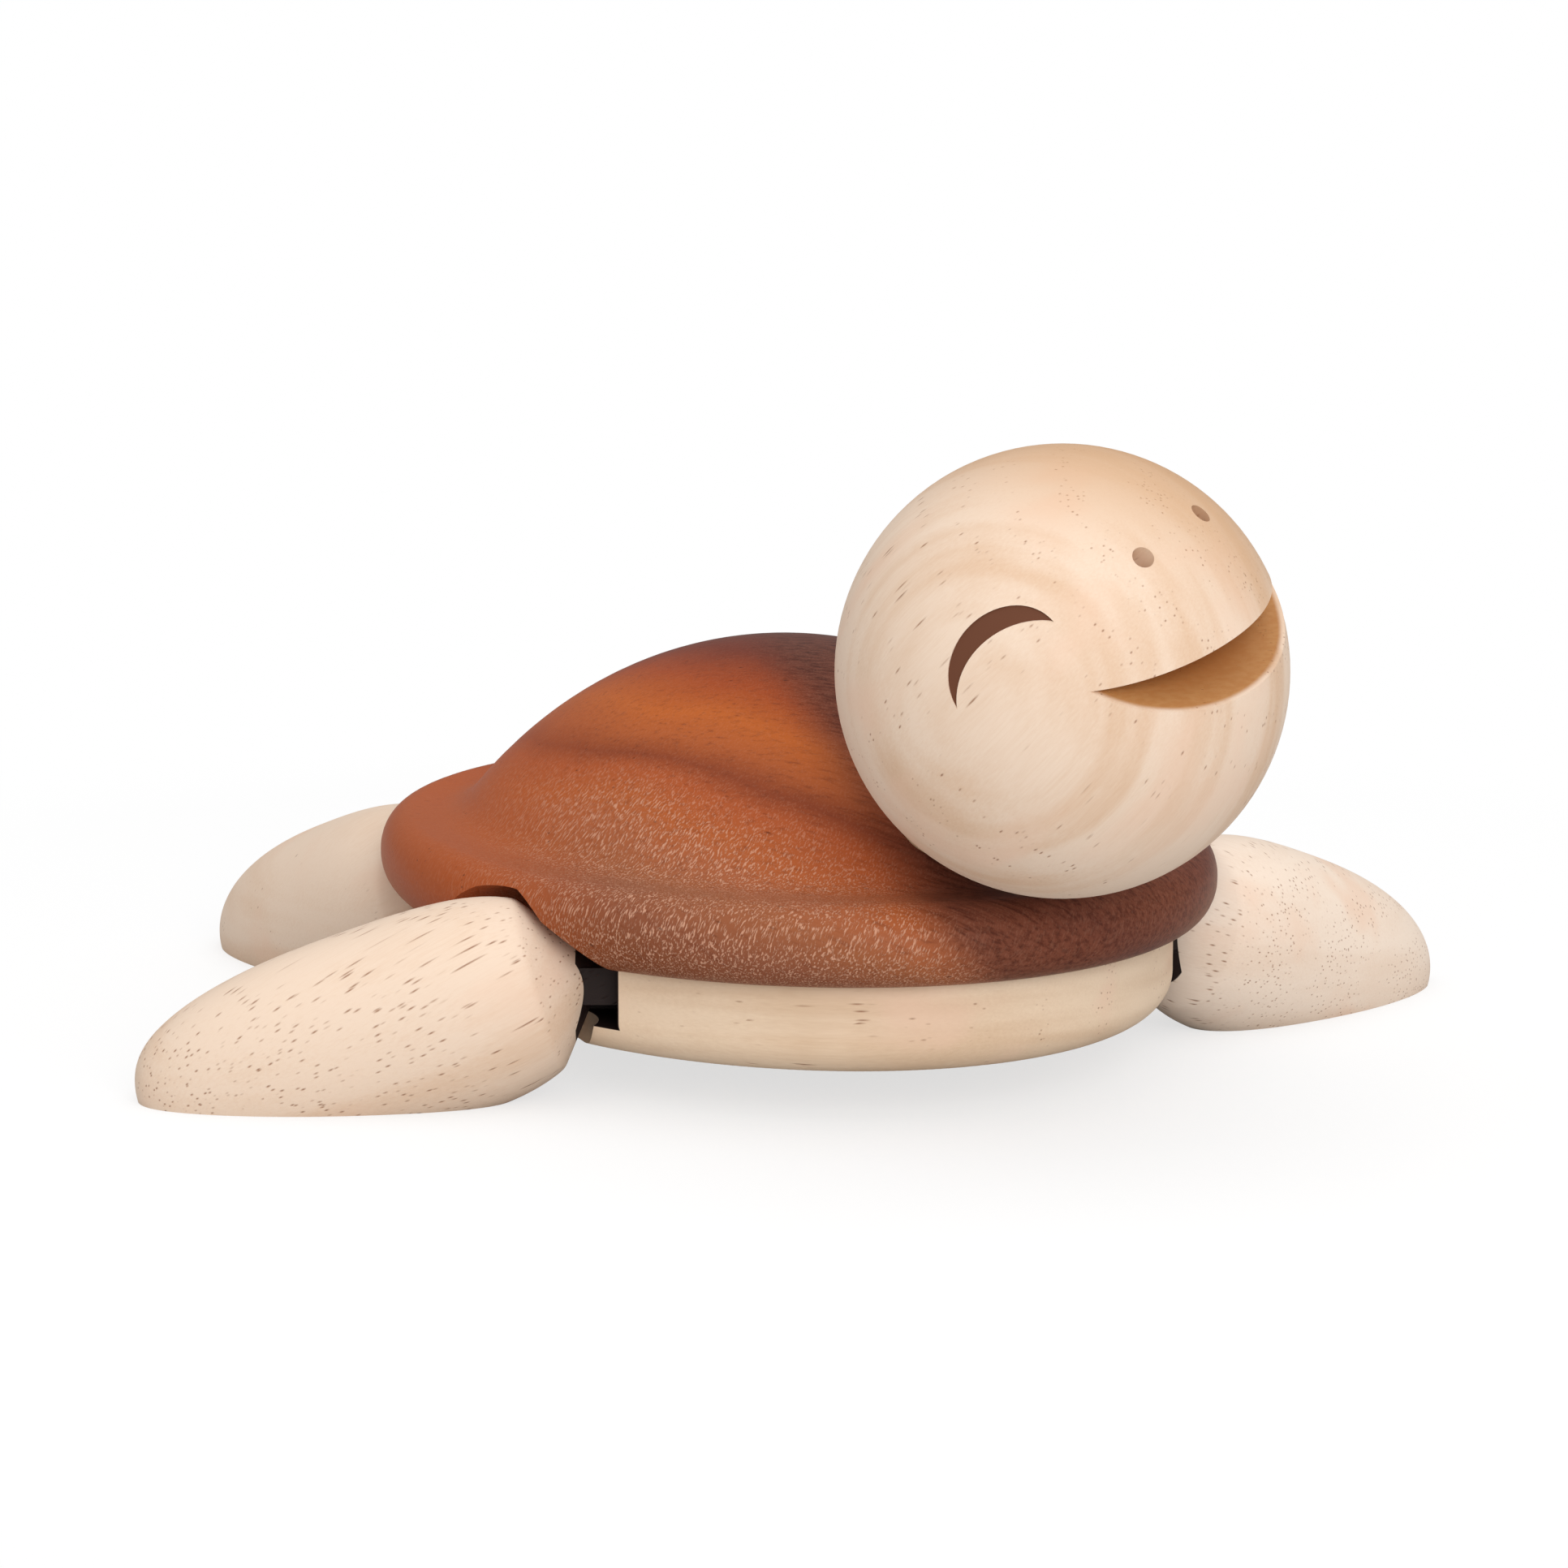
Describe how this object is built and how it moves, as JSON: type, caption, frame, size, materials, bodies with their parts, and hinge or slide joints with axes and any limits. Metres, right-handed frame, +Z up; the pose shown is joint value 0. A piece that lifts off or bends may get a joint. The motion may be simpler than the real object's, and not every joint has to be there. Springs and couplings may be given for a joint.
{
  "type": "turtle figurine",
  "caption": "Turned wooden sea turtle ornament with a domed dark shell, pale flippers that swing under the rim and a smiling ball head that turns on a leaning neck.",
  "frame": {"origin": "on the ground under the middle of the box round the whole figure at rest", "axes": "+X forward, from the tail to the neck, +Y to the turtle's left, +Z up"},
  "size_m": [0.1274, 0.1308, 0.0596],
  "materials": {
    "shell_wood": "satin oiled",
    "pale_wood": "smooth sanded",
    "belly_wood": "sanded",
    "eye_wood": "satin",
    "dowel_wood": "plain",
    "steel": "plain",
    "felt": "felt"
  },
  "bodies": {
    "body": {"shell": "shell_wood", "belly_plate": "belly_wood", "belly_dowels": "dowel_wood", "pivot_pin_front_right": "steel", "washers_front_right": "felt", "pivot_pin_front_left": "steel", "washers_front_left": "felt", "pivot_pin_rear_right": "steel", "washers_rear_right": "felt", "pivot_pin_rear_left": "steel", "washers_rear_left": "felt"},
    "head": {"head": "pale_wood", "eye_right": "eye_wood", "eye_left": "eye_wood", "neck_dowel": "dowel_wood", "neck_washer": "steel", "neck_screw": "steel"},
    "flipper_front_right": {"flipper_front_right": "pale_wood"},
    "flipper_front_left": {"flipper_front_left": "pale_wood"},
    "flipper_rear_right": {"flipper_rear_right": "pale_wood"},
    "flipper_rear_left": {"flipper_rear_left": "pale_wood"}
  },
  "joints": [
    {"name": "head_turn", "type": "hinge", "parent": "body", "child": "head", "pos_m": [0.03949, 0, 0.04307], "axis": [0.4879, 0, 0.8729], "range_deg": [-95, 25]},
    {"name": "swing_front_right", "type": "hinge", "parent": "body", "child": "flipper_front_right", "pos_m": [0.02041, -0.0178, 0.0095], "axis": [0, 0, 1], "range_deg": [-4, 6]},
    {"name": "swing_front_left", "type": "hinge", "parent": "body", "child": "flipper_front_left", "pos_m": [0.02041, 0.0178, 0.0095], "axis": [0, 0, 1], "range_deg": [-6, 4]},
    {"name": "swing_rear_right", "type": "hinge", "parent": "body", "child": "flipper_rear_right", "pos_m": [-0.01359, -0.0221, 0.0095], "axis": [0, 0, 1], "range_deg": [-4, 6]},
    {"name": "swing_rear_left", "type": "hinge", "parent": "body", "child": "flipper_rear_left", "pos_m": [-0.01359, 0.0221, 0.0095], "axis": [0, 0, 1], "range_deg": [-6, 4]}
  ]
}
